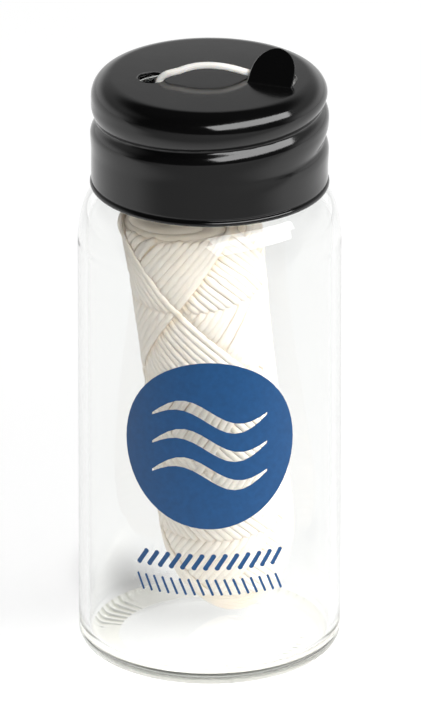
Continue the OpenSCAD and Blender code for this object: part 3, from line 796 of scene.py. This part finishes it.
def core_material():
    mat, tree, shader = material("inner_layers", Roughness=0.7)
    # Darker and warmer than the floss on top: painted shade in the gaps between strands and down the hollow
    dark, pale = (0.9, 0.72, 0.48), (0.94, 0.8, 0.6)
    tree.links.new(ramp(tree, noise(tree, 900, 3.0), (0.3, dark), (0.7, pale)),
                   shader.inputs["Base Color"])
    bump(tree, shader, noise(tree, 2500, 3.0), 0.3, 0.0001)
    return mat


def paint(objects, *materials):
    """Replaces the materials. clear() also resets the index that a maker has set on its faces, so
    it is called only where materials are."""
    for obj in objects:
        if len(obj.data.materials):
            obj.data.materials.clear()
        for mat in materials:
            obj.data.materials.append(mat)


# Room and light

def make_floor():
    """A pale floor that glows a little: strongly behind the jar, weakly far in front of it, and
    dimly in one soft spot at the jar's foot, a painted shadow where the jar's shadow falls."""
    mesh = bpy.data.meshes.new("floor")
    size = 6.0
    mesh.from_pydata([(-size, -size, 0), (size, -size, 0), (size, size, 0), (-size, size, 0)], [],
                     [(0, 1, 2, 3)])
    floor = bpy.data.objects.new("floor", mesh)
    bpy.context.scene.collection.objects.link(floor)
    floor.location.z = -0.0002
    mat, tree, shader = material("floor_white", Base_Color=(0.36, 0.36, 0.36, 1), Roughness=0.9,
                                 Specular_IOR_Level=0.0, Emission_Color=(1, 1, 1, 1))
    split = add(tree, "ShaderNodeSeparateXYZ", {"Vector": where(tree)})
    near = step_between(tree, split.outputs["Y"], -0.12, -0.03, 0.12, 0.74)
    # Painted shadow: the floor's glow is dimmed in one soft spot at the jar's back-left foot
    painted_shadow_spot = add(tree, "ShaderNodeMapping", {"Vector": where(tree)}, vector_type="TEXTURE",
               Location=(-0.0098, 0.0165, 0), Rotation=(0, 0, math.radians(13)),
               Scale=(0.0072, 0.015, 1))
    painted_shadow_spot = add(tree, "ShaderNodeTexGradient", {"Vector": painted_shadow_spot.outputs["Vector"]},
               gradient_type="SPHERICAL")
    painted_shadow_dim = step_between(tree, painted_shadow_spot.outputs["Fac"], 0.0, 1.0, 1.0, 0.3)
    tree.links.new(calculate(tree, "MULTIPLY", near, painted_shadow_dim), shader.inputs["Emission Strength"])
    floor.data.materials.append(mat)


def make_world():
    """White light from behind and dark in front; above the horizon it falls off in two steps."""
    world = bpy.data.worlds.new("studio")
    bpy.context.scene.world = world
    world.use_nodes = True
    tree = world.node_tree
    split = add(tree, "ShaderNodeSeparateXYZ", {"Vector": where(tree, "Generated")})
    back = step_between(tree, split.outputs["Y"], -0.35, 0.25, 0.024, 1.06)
    high = step_between(tree, split.outputs["Z"], 0.52, 0.76, 1.0, 0.04)
    low = step_between(tree, split.outputs["Z"], 0.12, 0.4, 1.0, 0.38)
    light = calculate(tree, "MULTIPLY", calculate(tree, "MULTIPLY", back, high), low)
    background = tree.nodes["Background"]
    background.inputs["Color"].default_value = (1, 1, 1, 1)
    tree.links.new(light, background.inputs["Strength"])


def softbox(name, azimuth, elevation, distance, width, height, radiance):
    """A soft area light aimed at the middle of the object; azimuth is measured from the camera."""
    data = bpy.data.lights.new(name, "AREA")
    data.shape = "RECTANGLE"
    data.size, data.size_y = width, height
    data.energy = radiance * width * height * math.pi
    light = bpy.data.objects.new(name, data)
    bpy.context.scene.collection.objects.link(light)
    a, e = math.radians(azimuth), math.radians(elevation)
    way = Vector((math.sin(a) * math.cos(e), -math.cos(a) * math.cos(e), math.sin(e)))
    light.location = Vector((0, 0, 0.035)) + way * distance
    light.rotation_euler = (-way).to_track_quat("-Z", "Y").to_euler()


tail = make_tail()
jar = make_jar()
# The soft light reaches the spool and the floor through the glass
jar.visible_shadow = False
cap = make_cap()
strands = wind_strands() + end_turns()
core = make_core()
paint([jar], glass_material(), foot_material())
paint([cap], enamel_material(), steel_material())
# The first colour is painted shade for strands that lie under others
paint(strands, floss_material("wound_floss", (0.9, 0.75, 0.57), (0.94, 0.865, 0.76)))
paint([core], core_material())
paint([tail], floss_material("loose_floss", (0.86, 0.83, 0.77), (0.92, 0.9, 0.86)))
paint([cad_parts["printed_disc"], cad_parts["printed_marks"]], ink_material())
paint([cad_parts["seal_ring"]], foam_material())
make_floor()
make_world()
softbox("softbox", azimuth=47, elevation=42, distance=1.0, width=1.5, height=0.48, radiance=7.2)
bpy.context.scene.view_settings.view_transform = "Standard"
